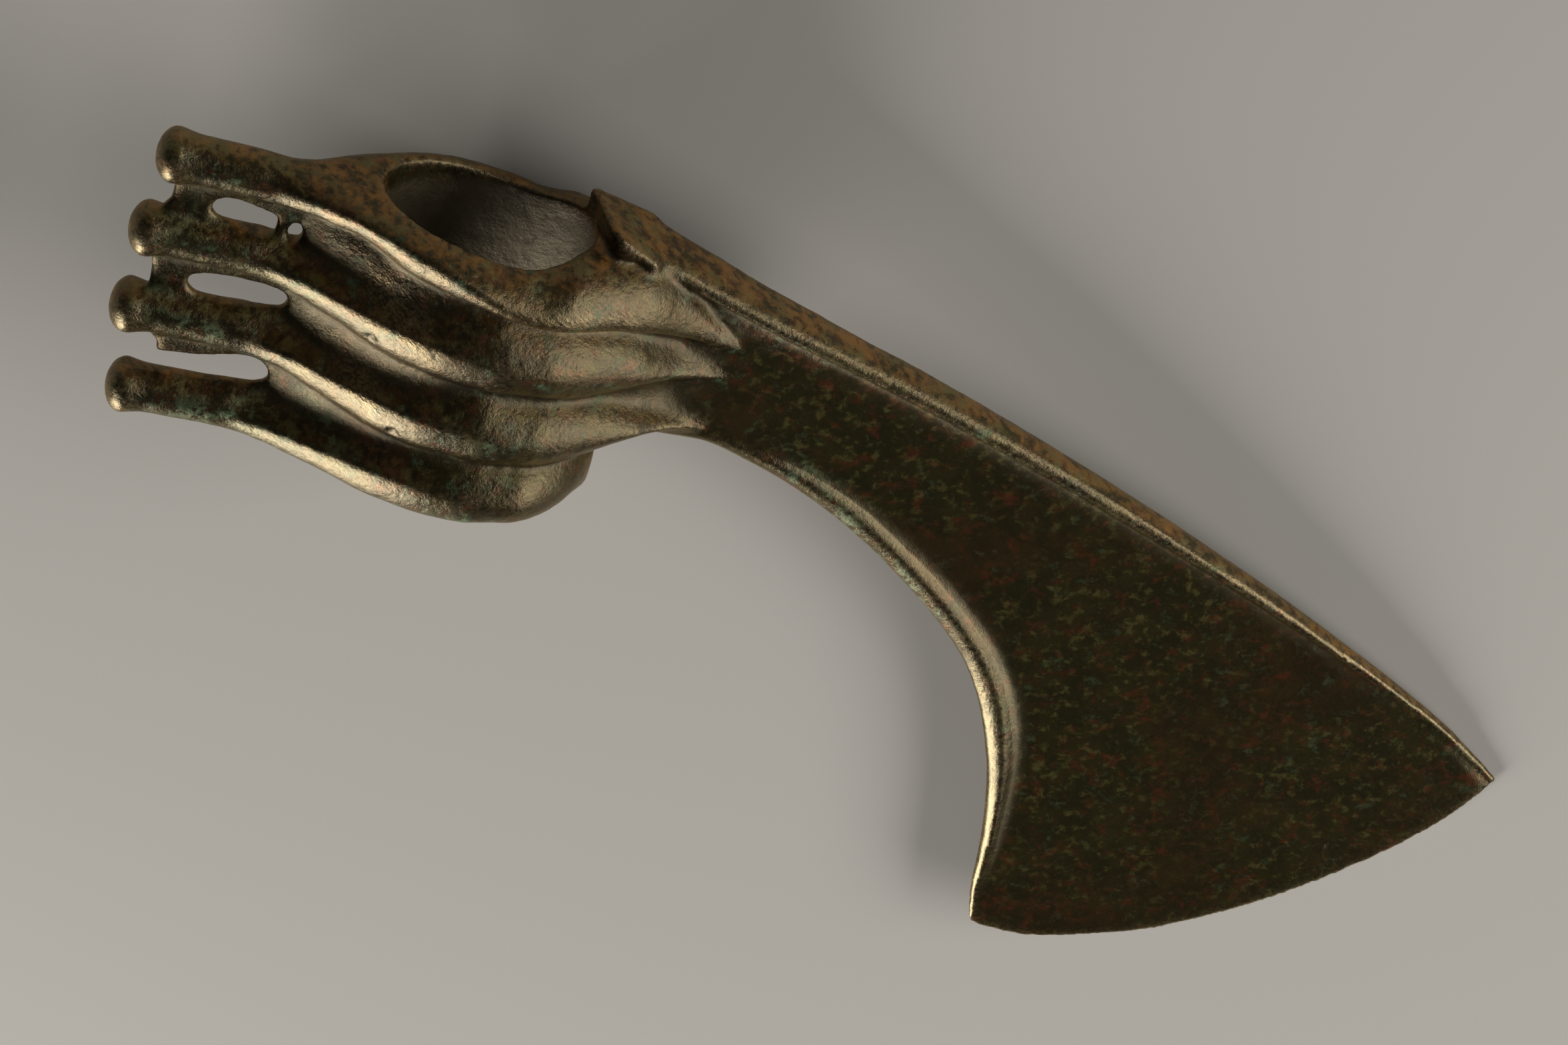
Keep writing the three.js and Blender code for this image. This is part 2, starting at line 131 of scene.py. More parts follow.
class AxeColours(bpy.types.PropertyGroup):
    """The colours of the patina and of the floor."""
    # The near black colour stands for patina in the random blotches, and for painted shade in the hollows and
    # down the shaft hole.
    dark: FloatVectorProperty(
        name="Dark patina", description="Near black patina of the hollows",
        subtype="COLOR", size=4, default=(0.008, 0.007, 0.004, 1.0))
    brown: FloatVectorProperty(
        name="Brown patina", description="Main brown patina",
        subtype="COLOR", size=4, default=(0.042, 0.027, 0.0085, 1.0))
    olive: FloatVectorProperty(
        name="Olive patina", description="Olive green patina",
        subtype="COLOR", size=4, default=(0.031, 0.028, 0.0085, 1.0))
    # The tan is mottled patina, laid on the tops as painted light from above and on the sideways faces as a
    # painted rim light.
    tan: FloatVectorProperty(
        name="Tan patina", description="Dusty tan patina of the tops and ends",
        subtype="COLOR", size=4, default=(0.33, 0.145, 0.028, 1.0))
    ochre: FloatVectorProperty(
        name="Ochre specks", description="Light earthy specks",
        subtype="COLOR", size=4, default=(0.100, 0.092, 0.022, 1.0))
    malachite: FloatVectorProperty(
        name="Malachite", description="Green corrosion spots",
        subtype="COLOR", size=4, default=(0.032, 0.105, 0.052, 1.0))
    cuprite: FloatVectorProperty(
        name="Cuprite", description="Red oxide",
        subtype="COLOR", size=4, default=(0.105, 0.028, 0.012, 1.0))
    # Worn metal on the crests, and painted highlights at the listed spots on the ribs and the spike knobs.
    worn_and_highlight_tone: FloatVectorProperty(
        name="Rubbed metal", description="Worn metal on the crests",
        subtype="COLOR", size=4, default=(0.33, 0.25, 0.14, 1.0))
    floor: FloatVectorProperty(
        name="Floor", description="Pale studio floor",
        subtype="COLOR", size=4, default=(0.47, 0.465, 0.455, 1.0))


def through(pairs):
    """A smooth function through pairs of place and value, with no overshoot between them."""
    slopes = [(b[1] - a[1]) / (b[0] - a[0]) for a, b in zip(pairs, pairs[1:])]
    tangents = []
    for i in range(len(pairs)):
        before, after = slopes[max(i - 1, 0)], slopes[min(i, len(slopes) - 1)]
        tangents.append(0.0 if before * after <= 0 else 2 * before * after / (before + after))

    def value(x):
        if x <= pairs[0][0]:
            return pairs[0][1]
        i = 0
        while i < len(slopes) - 1 and x > pairs[i + 1][0]:
            i += 1
        width = pairs[i + 1][0] - pairs[i][0]
        t = min((x - pairs[i][0]) / width, 1.0)
        rise = pairs[i + 1][1] - pairs[i][1]
        start, end = tangents[i] * width - rise, tangents[i + 1] * width - rise
        return pairs[i][1] + rise * t + t * (1 - t) * ((1 - t) * start - t * end)

    return value


def soft_step(low, high, values):
    """0 at low, 1 at high, smooth between, for one value or for many."""
    t = np.clip((values - low) / (high - low), 0.0, 1.0)
    return t * t * (3 - 2 * t)


def curve_along(points):
    """A function of a share from 0 to 1 that runs smoothly through points in the middle plane."""
    knots = [0.0]
    for a, b in zip(points, points[1:]):
        knots.append(knots[-1] + math.dist(a, b))
    run = [k / knots[-1] for k in knots]
    place_x = through([(s, p[0]) for s, p in zip(run, points)])
    place_y = through([(s, p[1]) for s, p in zip(run, points)])
    return lambda share: Vector((place_x(share), place_y(share), 0.0))


def loft(bm, ring_point, steps, sides):
    """A closed form swept through rings with a front and a back face, from a bent grid with merged rims."""
    grid = bmesh.ops.create_grid(bm, x_segments=steps, y_segments=sides, size=0.5)
    for vert in grid["verts"]:
        u = round((vert.co.x + 0.5) * steps) / steps
        place = round((vert.co.y + 0.5) * sides) % sides
        face = -1 if place > sides / 2 else 1
        share = (sides - place if face < 0 else place) / (sides / 2)
        vert.co = ring_point(u, share, face)
        if share in (0.0, 1.0):
            vert.co.z = 0.0
    bmesh.ops.remove_doubles(bm, verts=grid["verts"], dist=1e-4)


def axe_sizes():
    return bpy.context.scene.axe_sizes


def socket_half():
    sizes = axe_sizes()
    return (sizes.hole_width / 2 + sizes.side_wall) / MM


def crest_line():
    """Half thickness of the rib crests along X, in millimetres."""
    half, bar = socket_half(), axe_sizes().spike_radius / MM
    shares = [(-27, 0.34), (-22, 0.49), (-16.4, 0.66), (-9.4, 0.86), (-3, 0.97), (CREST_TOP_X, 1.0),
              (11, 0.93), (15, 0.84), (20, 0.69), (26, 0.52), (31.6, 0.32), (36, 0.2), (42, 0.1)]
    return through([(-46, bar), (-33, bar + 0.1)] + [(x, share * half) for x, share in shares])


def nose_line(crest):
    """The lowest rib closes round the front of the socket in a blunt nose."""
    return lambda x: crest(x) * math.sqrt(max(0.0, 1 - max(0.0, (x - 9) / 14.2) ** 2.6))


# The rounded tip of a spike, the swelling of the knob behind it, and the share of the sweep for the tip.
TIP_LENGTH = 3.0
KNOB_LENGTH = 4.2
TIP_SHARE = 0.1
# How deep the rounded cap of a rib grows towards the blade, as shares of its depth on the socket.
CAP_DEPTH = [(3, 1), (11, 1.4), (26, 1.4), (33, 1)]


class RibForm(NamedTuple):
    """One rib, drawn by pairs of X and value. A slope of 1 is round, and a higher one is a hollow side."""
    tip: float
    centre: list
    lower: list
    upper: list
    lower_slope: list
    upper_slope: list
    lift: list
    upper_cap: list
    crest: object


def rib_forms():
    """The four ribs from the top down: where the spike starts, the centre line, the half heights and the
    slopes of the two sides, how far the crest stands above the middle on the near face, how deep the upper
    side is rounded, and the half thickness."""
    bar = axe_sizes().spike_radius / MM
    crest = crest_line()
    lift = [(-32, 0), (-24, 0.8), (-10, 0.9), (5, 0)]
    hollow = [(-33, 1), (-26, 2.3), (-19, 2.6), (-8, 2.4), (5, 1.4), (14, 1.1), (24, 1), (33, 1.5)]
    flared = [(18, 1), (28, 1.6)]
    second = [(-36, bar), (-28, 4.3), (-20, 5.3), (-10, 6.8), (0, 7.1), (11.5, 7.1), (20, 6.9), (26, 6.1),
              (31, 4.6), (36, 2.6), (40.6, 0.2)]
    third = [(-36, bar), (-28, 4.4), (-20, 5.4), (-10, 6.8), (0, 7.0), (11.5, 6.8), (19, 6.1), (25, 4.5),
             (29, 3.2), (34, 1.6), (39, 0.2)]
    fourth = [(-36, bar), (-28, 4.5), (-20, 5.3), (-10, 6.5), (0, 6.8), (15, 6.8), (19, 6.2), (23.2, 5)]
    return [
        RibForm(
            tip=-50.3,
            centre=[(-46, 2.6), (-36, 1.6), (-28, 0.4), (-20, 0.1), (-10, -1.4), (0, -3.5), (7.5, -6.0),
                    (15, -7.3), (20, -7.8), (25, -9), (30, -11.6), (36, -14.7), (42, -17.2)],
            lower=[(-36, bar), (-28, 3.1), (-20, 2.5), (-10, 3.9), (0, 3.6), (7.5, 3.1), (15, 3.4), (25, 4),
                   (30, 3.2), (36, 1.8), (42, 0.2)],
            upper=[(-36, bar), (-28, 3.8), (-20, 3.7), (-10, 3.8), (0, 3.5), (7.5, 5.0), (15, 7.6),
                   (20, 7.6), (25, 8.2), (30, 7.2), (36, 3.7), (42, 0.3)],
            lower_slope=[(24, 1), (32, 1.3)],
            upper_slope=[(-34, 1), (-24, 1.4), (4, 1.5), (13, 1.05), (25, 0.85), (32, 0.65)],
            lift=[(-34, 0), (-26, 1.3), (-19, 2.0), (-8, 1.8), (4, 0)],
            upper_cap=[(5, 1), (12, 1.75), (25, 1.75), (33, 1)], crest=crest),
        RibForm(
            tip=-52.3,
            centre=[(-46, -11.3), (-28, -12.9), (-10, -14.4), (0, -15), (11.5, -16.8), (20, -18.2),
                    (31, -20.4), (40.6, -22.2)],
            lower=second, upper=second, lower_slope=flared, upper_slope=hollow,
            lift=lift, upper_cap=CAP_DEPTH, crest=crest),
        RibForm(
            tip=-53,
            centre=[(-46, -25.9), (-28, -27.1), (-10, -28.2), (0, -28.6), (11.5, -30.2), (20, -30.5),
                    (33.7, -31.2), (39, -32.4)],
            lower=third, upper=third, lower_slope=flared, upper_slope=hollow,
            lift=lift, upper_cap=CAP_DEPTH, crest=crest),
        RibForm(
            tip=-51.4,
            centre=[(-46, -41), (-28, -41.7), (-10, -40.7), (0, -40.9), (11.5, -41.4), (23.2, -41.2)],
            lower=fourth, upper=fourth, lower_slope=[(0, 1), (1, 1)], upper_slope=hollow,
            lift=lift, upper_cap=CAP_DEPTH, crest=nose_line(crest)),
    ]


def add_rib(bm, form):
    """One rib with its spike: a section with its own upper and lower side, swept along X."""
    sizes = axe_sizes()
    centre, lift, upper_cap = through(form.centre), through(form.lift), through(form.upper_cap)
    lower, upper = through(form.lower), through(form.upper)
    lower_slope, upper_slope = through(form.lower_slope), through(form.upper_slope)
    lower_cap = through(CAP_DEPTH)
    swelling = sizes.knob_radius / sizes.spike_radius - 1
    rounding = sizes.rib_rounding / MM
    knob_x, end = form.tip + TIP_LENGTH, form.lower[-1][0]

    def ring_point(u, share, face):
        if u < TIP_SHARE:
            along = 1 - math.cos(u / TIP_SHARE * math.pi / 2)
            x = form.tip + TIP_LENGTH * along
            closing = math.sqrt(max(0.0, 1 - (1 - along) ** 2))
        else:
            x = knob_x + (end - knob_x) * (u - TIP_SHARE) / (1 - TIP_SHARE)
            closing = 1.0 if u < 1 else 0.0
        swell = (1 + swelling * max(0.0, 1 - max(0.0, x - knob_x) / KNOB_LENGTH) ** 2) * closing
        above = share < 0.5
        lifted = lift(x) if face > 0 else 0.0
        height = (upper(x) - lifted if above else lower(x) + lifted) * swell
        reach = form.crest(x) * swell
        cap = min(rounding * (upper_cap(x) if above else lower_cap(x)), reach)
        slope = upper_slope(x) if above else lower_slope(x)
        turn = share * math.pi
        z = face * (max(math.sin(turn), 0.0) ** slope * cap + reach - cap)
        y = centre(x) + lifted + height * math.copysign(abs(math.cos(turn)) ** slope, math.cos(turn))
        return Vector((x, y, z))

    loft(bm, ring_point, 150, 60)


def add_socket_body(bm):
    """The socket body between the ribs, which shows as the floor of the valleys."""
    crest = crest_line()
    valley = axe_sizes().valley_depth / MM
    deeper = through([(-28, 0.9), (-20, 0.1), (-10, -0.3), (4, 0)])
    top = through([(-27.5, -3), (-20, -2.5), (0, -5), (15, -6), (30, -11), (38, -15)])
    bottom = through([(-27.5, -39), (0, -40), (16, -39), (25, -31.5), (38, -31)])
    start, end = -27.5, 38.0

    def ring_point(u, share, face):
        x = start + (end - start) * u
        reach = max(crest(x) - valley - deeper(x), 0.3) * (0.0 if u in (0.0, 1.0) else 1.0)
        middle, half = (top(x) + bottom(x)) / 2, (top(x) - bottom(x)) / 2
        wave = math.cos(share * math.pi)
        y = middle + half * math.copysign(abs(wave) ** 0.35, wave)
        return Vector((x, y, face * reach * max(math.sin(share * math.pi), 0.0) ** 0.35))

    loft(bm, ring_point, 60, 60)


# The outline of the webs in the middle plane.
WEB_OUTLINE = [(-46.6, 1), (-46.8, -5), (-48.2, -7.2), (-48.6, -11), (-47.8, -18), (-47.8, -22),
               (-49.2, -25), (-47.5, -29), (-45, -31.6), (-45, -36.4), (-47.5, -37), (-48, -41), (-24, -42),
               (-24, 1)]


def add_webs(bm):
    """The thin webs that tie the spikes together, as one plate."""
    half = axe_sizes().web_thickness / MM / 2
    corners = [bm.verts.new((x, y, -half)) for x, y in WEB_OUTLINE]
    face = bm.faces.new(corners)
    raised = bmesh.ops.extrude_face_region(bm, geom=[face])["geom"]
    verts = [item for item in raised if isinstance(item, bmesh.types.BMVert)]
    bmesh.ops.translate(bm, verts=verts, vec=(0, 0, 2 * half))


# The outlines of the blade in the middle plane.
BLOCK_START_X = 15.7
BLADE_TIP = (177.3, -80.6)
BLADE_CORNER = (101.3, -125.8)
BACK = curve_along([(BLOCK_START_X, 4.5), (44.9, -8.3), (75.7, -21.1), (114, -39.9), (143.6, -56.7),
                    (166.8, -71.8), BLADE_TIP])
HOLLOW = curve_along([(27, -35.2), (37, -35.2), (47.5, -38.5), (59.9, -45.1), (71.7, -54.2), (80.8, -62.8),
                      (88.4, -72.2), (93.6, -83.2), (97.3, -96), (99.3, -109.5), (99.9, -118),
                      BLADE_CORNER])
CUTTING_EDGE = curve_along([BLADE_CORNER, (110.3, -127.2), (126.5, -124), (138.2, -118.6), (150.5, -110.7),
                            (163.3, -99.7), (172.1, -89.7), BLADE_TIP])


def add_blade_plate(bm):
    """The thin plate of the blade, a fan of lines between the back and the hollow edge."""
    thick = axe_sizes().plate_thickness / MM / 2
    edge_half = 0.75
    fan_end = 0.86
    tip, corner = Vector((*BLADE_TIP, 0)), Vector((*BLADE_CORNER, 0))

    def ring_point(u, across, face):
        fan = min(u / fan_end, 1.0)
        inset = 0.015 * (1 - u)
        point = BACK(fan).lerp(HOLLOW(fan), inset + (1 - 2 * inset) * across)
        bulge = CUTTING_EDGE(1 - across) - tip.lerp(corner, across)
        swing = max(0.0, (u - 0.5) / 0.5)
        point += bulge * swing * swing
        body = thick - (thick - edge_half) * min(1.0, max(0.0, (u - 0.15) / 0.75))
        closing = 0.3 + 0.7 * min(1.0, (1 - u) / 0.05)
        point.z = face * body * closing
        return point

    loft(bm, ring_point, 90, 90)


# The block of the back: where its square form ends, and how its end face slants with the thickness.
BLOCK_END_X = 24.4
BLOCK_SLANT = 0.34
SLANT_END_X = 24.0
# How far the section reaches down onto the plate, as a share of the ridge's width.
RIDGE_REACH = 1.09
# The shares of the sweep round the section that draw its outer side and its end on the plate.
RIDGE_SIDE = 0.12
RIDGE_END = 0.08


def add_ridge(bm):
    """The thick back: a square block at the socket, then a bar with a rounded top and a hollow inner face."""
    half = through([(15, 6.3), (24.6, 6.3), (26.2, 4.75), (45, 4.25), (60, 3.7), (76, 3.35), (95, 2.95),
                    (114, 2.6), (131, 2.2), (150, 1.8), (167, 1.15), (BLADE_TIP[0], TIP_REST)])
    far_half = through([(15, 6.3), (24.6, 6.15), (33, 5.4), (45, 4.45), (60, 3.7)])
    shares = [(15, 0.9677), (60, 1), (80, 1), (114, 0.8387), (143, 0.5968), (167, 0.3387),
              (BLADE_TIP[0], 0.1613)]
    width = through([(x, share * axe_sizes().ridge_width / MM) for x, share in shares])
    bar = through([(0, 0.66), (0.05, 0.8), (0.12, 0.9), (0.2, 0.965), (0.28, 1), (0.36, 0.985),
                   (0.44, 0.89), (0.53, 0.68), (0.61, 0.54), (0.7, 0.49), (0.85, 0.475), (1, 0.48),
                   (1.05, 0.44), (1.09, 0.3)])
    block = through([(0, 0.92), (0.02, 0.97), (0.05, 1), (0.26, 1), (0.32, 0.97), (0.36, 0.86), (0.39, 0.6),
                     (0.46, 0.5), (1, 0.48), (1.09, 0.3)])
    steps, sides = 260, 64

    def ring_point(u, share, face):
        closed = 0.0 if u in (0.0, 1.0) else 1.0
        point = BACK(min(1.0, max(0.0, (u * steps - 1) / (steps - 2))))
        squared = 1 - soft_step(BLOCK_END_X, BLOCK_END_X + 2, point.x)
        down = max(0.0, share - RIDGE_SIDE) / (1 - RIDGE_SIDE - RIDGE_END) * RIDGE_REACH
        solid = 0.5 + 0.5 * soft_step(16.5, 22, point.x)
        out = block(down * solid) * squared + bar(down) * (1 - squared)
        out *= min(share / RIDGE_SIDE, 1.0, (1 - share) / RIDGE_END)
        across = width(point.x)
        crown = 0.05 * across * (1 - min(share / RIDGE_SIDE, 1.0) ** 2)
        point.y -= (down * across if closed else 0.4 * across) - crown
        reach = far_half(point.x) if face < 0 and point.x < 60 else half(point.x)
        rounded = min(1.0, max(0.0, (point.x - 15.6) / 1.8))
        out *= 0.7 + 0.3 * math.sqrt(1 - (1 - rounded) ** 2)
        point.z = face * out * reach * closed
        point.x += BLOCK_SLANT * point.z * max(0.0, (SLANT_END_X - point.x) / (SLANT_END_X - BLOCK_START_X))
        return point

    loft(bm, ring_point, steps, sides)


def add_flange(bm):
    """The bead along the hollow edge: a rounded crest, a shallow cove and a thin lip on the plate."""
    sizes = axe_sizes()
    half = through([(0, 0.5), (0.12, 0.8), (0.3, 1), (0.7, 1), (0.86, 0.72), (1, 0.28)])
    width = through([(0, 0.5), (0.15, 0.8), (0.3, 1), (0.62, 1), (0.8, 0.6), (1, 0.2)])
    section = through([(0, 0), (0.03, 0.38), (0.1, 0.58), (0.25, 0.76), (0.4, 0.93), (0.5, 1), (0.6, 0.95),
                       (0.7, 0.78), (0.78, 0.66), (0.9, 0.6), (1, 0)])

    def ring_point(u, share, face):
        closed = 0.0 if u in (0.0, 1.0) else 1.0
        point = HOLLOW(u)
        along = (HOLLOW(min(u + 0.01, 1)) - HOLLOW(max(u - 0.01, 0))).normalized()
        inward = Vector((-along.y, along.x, 0))
        across = (1 - math.cos(share * math.pi)) / 2 if closed else 0.5
        point += inward * sizes.flange_width / MM * width(u) * across
        thick = section(across) * sizes.flange_thickness / MM / 2 * half(u)
        point.z = closed * face * thick
        return point

    loft(bm, ring_point, 160, 56)


def new_object(name, bm):
    """A scene object from a bmesh, with its normals outward."""
    bmesh.ops.recalc_face_normals(bm, faces=bm.faces)
    mesh = bpy.data.meshes.new(name)
    bm.to_mesh(mesh)
    bm.free()
    piece = bpy.data.objects.new(name, mesh)
    bpy.context.scene.collection.objects.link(piece)
    return piece


def apply_modifiers(piece):
    """The piece keeps the shape that its modifiers give it, and no modifier."""
    shaped = piece.evaluated_get(bpy.context.evaluated_depsgraph_get())
    mesh = bpy.data.meshes.new_from_object(shaped)
    old = piece.data
    piece.modifiers.clear()
    piece.data = mesh
    bpy.data.meshes.remove(old)


def gap_cutter(bm, outline, half_depth):
    """An upright cutting shape with a smooth outline through the given points."""
    rounded = []
    for i, (x, y) in enumerate(outline):
        after = outline[(i + 1) % len(outline)]
        rounded += [(x + (after[0] - x) * share, y + (after[1] - y) * share) for share in (0.2, 0.5, 0.8)]
    face = bm.faces.new([bm.verts.new((x, y, -half_depth)) for x, y in rounded])
    raised = bmesh.ops.extrude_face_region(bm, geom=[face])["geom"]
    verts = [item for item in raised if isinstance(item, bmesh.types.BMVert)]
    bmesh.ops.translate(bm, verts=verts, vec=(0, 0, 2 * half_depth))


def shaft_cutter(bm):
    """The oval shaft hole as a cutting shape."""
    sizes = axe_sizes()
    oval = Matrix.Diagonal((sizes.hole_length / MM / 2, 1, sizes.hole_width / MM / 2, 1))
    shape = Matrix.Translation((HOLE_CENTRE_X, FOOT_Y / 2, 0)) @ oval @ Matrix.Rotation(math.pi / 2, 4, "X")
    bmesh.ops.create_cone(bm, cap_ends=True, segments=160, radius1=1, radius2=1, depth=70, matrix=shape)


def foot_cutter(bm):
    """Everything below the flat foot rim."""
    deep = 20
    box = Matrix.Translation((0, FOOT_Y - deep / 2, 0)) @ Matrix.Diagonal((70, deep, 60, 1))
    bmesh.ops.create_cube(bm, size=1, matrix=box)


# The gaps and the small hole that the casting left between the spikes, and half the depth of each cut.
GAPS = [
    ([(-40.8, -5.8), (-40.4, -4.2), (-39.2, -3.6), (-37.2, -3.5), (-34.3, -4.3), (-30.9, -5.4), (-30.9, -7.3),
      (-31.1, -8.8), (-31.8, -9.1), (-33.6, -8.9), (-35.8, -8.4), (-38.0, -7.6), (-39.8, -7.2)], 1.7),
    ([(-29.2, -7.8), (-28.6, -6.2), (-27.6, -6.0), (-26.8, -7.6), (-27.4, -9.6), (-28.5, -9.8)], 2.6),
    ([(-42.3, -19.7), (-41.8, -18.4), (-40.3, -17.9), (-37.8, -17.7), (-34.3, -17.9), (-30.6, -18.3),
      (-28.0, -19.1), (-27.0, -20.2), (-27.3, -22.0), (-30.7, -22.5), (-34.2, -22.7), (-37.0, -22.5),
      (-39.6, -22.0), (-41.3, -21.4)], 1.7),
    ([(-54, -33.3), (-45.3, -33.6), (-43.2, -33.4), (-40.4, -33.2), (-37.5, -33.1), (-34.8, -32.4),
      (-32.0, -32.0), (-29.4, -32.3), (-28.1, -33.6), (-27.5, -35.4), (-28.2, -36.5), (-31, -37.2),
      (-40, -37.2), (-54, -36.9)], 1.7),
]


def cut(piece, draw, *values):
    """Cuts one shape out of the piece."""
    bm = bmesh.new()
    draw(bm, *values)
    cutter = new_object("cutter", bm)
    taken = piece.modifiers.new("cut", "BOOLEAN")
    taken.operation = "DIFFERENCE"
    taken.solver = "MANIFOLD"
    taken.object = cutter
    before = len(piece.data.vertices)
    apply_modifiers(piece)
    bpy.data.objects.remove(cutter)
    if len(piece.data.vertices) < before / 2:
        raise RuntimeError("the cut took the casting away")


def fuse(piece, step):
    """One closed skin of even faces from all overlapping forms."""
    skin = piece.modifiers.new("fuse", "REMESH")
    skin.mode = "VOXEL"
    skin.voxel_size = step
    apply_modifiers(piece)


def casting_mesh():
    """All forms of the casting, fused into one skin with the openings cut."""
    bm = bmesh.new()
    for form in rib_forms():
        add_rib(bm, form)
    add_socket_body(bm)
    add_webs(bm)
    add_blade_plate(bm)
    add_ridge(bm)
    add_flange(bm)
    piece = new_object("bronze_head", bm)
    step = axe_sizes().surface_step / MM
    fuse(piece, 0.8 * step)
    cut(piece, foot_cutter)
    for gap in GAPS:
        cut(piece, gap_cutter, *gap)
    cut(piece, shaft_cutter)
    fuse(piece, step)
    return piece


def read_points(mesh):
    """The places of all points, one row each."""
    points = np.empty(len(mesh.vertices) * 3)
    mesh.vertices.foreach_get("co", points)
    return points.reshape(-1, 3)


def read_normals(mesh):
    """The outward directions of all points, one row each."""
    normals = np.empty(len(mesh.vertices) * 3)
    mesh.vertex_normals.foreach_get("vector", normals)
    return normals.reshape(-1, 3)


def neighbour_mean(points, edges, degree):
    """The mean of each point's neighbours."""
    total = np.zeros_like(points)
    for axis in range(points.shape[1]):
        total[:, axis] += np.bincount(edges[:, 0], points[edges[:, 1], axis], len(points))
        total[:, axis] += np.bincount(edges[:, 1], points[edges[:, 0], axis], len(points))
    return total / degree[:, None]


def relax(points, edges, degree, rounds):
    """The points after some rounds of moving half way to the mean of their neighbours."""
    for _ in range(rounds):
        points = points + 0.5 * (neighbour_mean(points, edges, degree) - points)
    return points


def lying_turn():
    """The head lies on its swollen side and on the tip of the blade."""
    lean = math.atan((socket_half() - TIP_REST) / (BLADE_TIP[0] - CREST_TOP_X))
    return Matrix.Rotation(lean, 3, "Y")


def to_frame(points):
    """Casting millimetres to frame metres."""
    turn = np.array(lying_turn())
    return (points @ turn.T + np.array(CASTING_ORIGIN)) * MM


def mesh_edges(mesh):
    """The point pairs of all edges, and how many neighbours each point has."""
    edges = np.empty(len(mesh.edges) * 2, dtype=np.int32)
    mesh.edges.foreach_get("vertices", edges)
    edges = edges.reshape(-1, 2)
    return edges, np.maximum(np.bincount(edges.ravel(), minlength=len(mesh.vertices)), 1)


def move_points(mesh, points):
    mesh.vertices.foreach_set("co", points.ravel())
    mesh.update()


# How many rounds fill the creases, and how many draw the broad form that crests and hollows are told from.
CREASE_ROUNDS = 26
BROAD_ROUNDS = 24


def fill_creases(mesh, edges, degree):
    """Rounds the concave creases where the ribs run out on the blade and where the webs meet the spikes."""
    points = read_points(mesh)
    x, y = points[:, 0], points[:, 1]
    ends = soft_step(22, 30, x) * soft_step(52, 44, x) * soft_step(-9.0, -14.0, y + 0.27 * (x - 25))
    webs = soft_step(-26, -31, x)
    rise = soft_step(-28, -22, x) * soft_step(2, -6, x)
    weight = np.clip(ends + 0.35 * webs + 0.5 * rise, 0, 1)
    weight[weight <= 0.01] = 0
    for _ in range(CREASE_ROUNDS):
        inward = neighbour_mean(points, edges, degree) - points
        normals = read_normals(mesh)
        along = np.einsum("ij,ij->i", inward, normals)
        points = points + normals * (np.maximum(along, 0) * weight)[:, None]
        move_points(mesh, points)


# The chips in the rib crests, each with its X, its Y, its radius and its depth.
CHIPS = [(-15.0, -17.4, 1.2, 0.6), (-9.2, -32.4, 1.2, 0.6), (23.4, -35.0, 1.3, 0.45),
         (15.6, -47.3, 1.2, 0.4)]


def chip_crests(points, normals):
    """Small dents in the crests of the ribs."""
    depth = np.zeros(len(points))
    for x, y, radius, deep in CHIPS:
        away = np.hypot(points[:, 0] - x, points[:, 1] - y) / radius
        depth += deep * np.exp(-2.5 * away ** 2) * (points[:, 2] > 0)
    return points - normals * depth[:, None]


# The middle of the blade, towards which the edge is worn, and how far from the edge the wear reaches.
BLADE_MIDDLE = (139, -80)
WORN_DEPTH = 3.0


def wear_edge(points):
    """The cutting edge is uneven, with shallow nicks."""
    rim = np.array([tuple(CUTTING_EDGE(i / 300)) for i in range(301)])
    near = (points[:, 0] > 96) & (points[:, 1] < -70)
    for i in np.flatnonzero(near):
        away = rim - points[i]
        gap = np.hypot(away[:, 0], away[:, 1])
        k = int(gap.argmin())
        if gap[k] > WORN_DEPTH:
            continue
        place = k * 0.31
        bite = 0.16 * noise.noise(Vector((place * 0.9, 3.1, 0)))
        bite += 0.12 * noise.noise(Vector((place * 2.7, 9.4, 0)))
        bite += 0.5 * max(0.0, noise.noise(Vector((place * 0.55, 21.7, 0))) - 0.32)
        inward = Vector((BLADE_MIDDLE[0] - points[i][0], BLADE_MIDDLE[1] - points[i][1], 0)).normalized()
        points[i, :2] += np.array(inward[:2]) * (max(bite, -0.05) + 0.05) * (1 - gap[k] / WORN_DEPTH)
    return points


def uneven(points):
    """How far each point stands out of the drawn form: broad casting waves, and finer pitting."""
    waves = np.array([noise.noise(Vector(point) * 0.11) for point in points])
    pits = np.array([noise.fractal(Vector(point) * 0.42, 0.9, 2.1, 3) for point in points])
    return 0.15 * waves + 0.07 * pits


def weather(mesh):
    """Softens and roughens the skin as cast and corroded bronze."""
    edges, degree = mesh_edges(mesh)
    move_points(mesh, relax(read_points(mesh), edges, degree, 3))
    fill_creases(mesh, edges, degree)
    points = relax(read_points(mesh), edges, degree, 1)
    points = chip_crests(points, read_normals(mesh))
    plate = soft_step(1.9, 3.2, np.abs(points[:, 2]))
    points = points + read_normals(mesh) * (uneven(points) * (0.45 + 0.55 * plate))[:, None]
    move_points(mesh, wear_edge(points))


def thin_out(piece):
    """Fewer triangles for the same form."""
    fewer = piece.modifiers.new("fewer", "DECIMATE")
    fewer.ratio = min(1.0, TRIANGLES / (2 * len(piece.data.polygons)))
    fewer.use_collapse_triangulate = True
    apply_modifiers(piece)


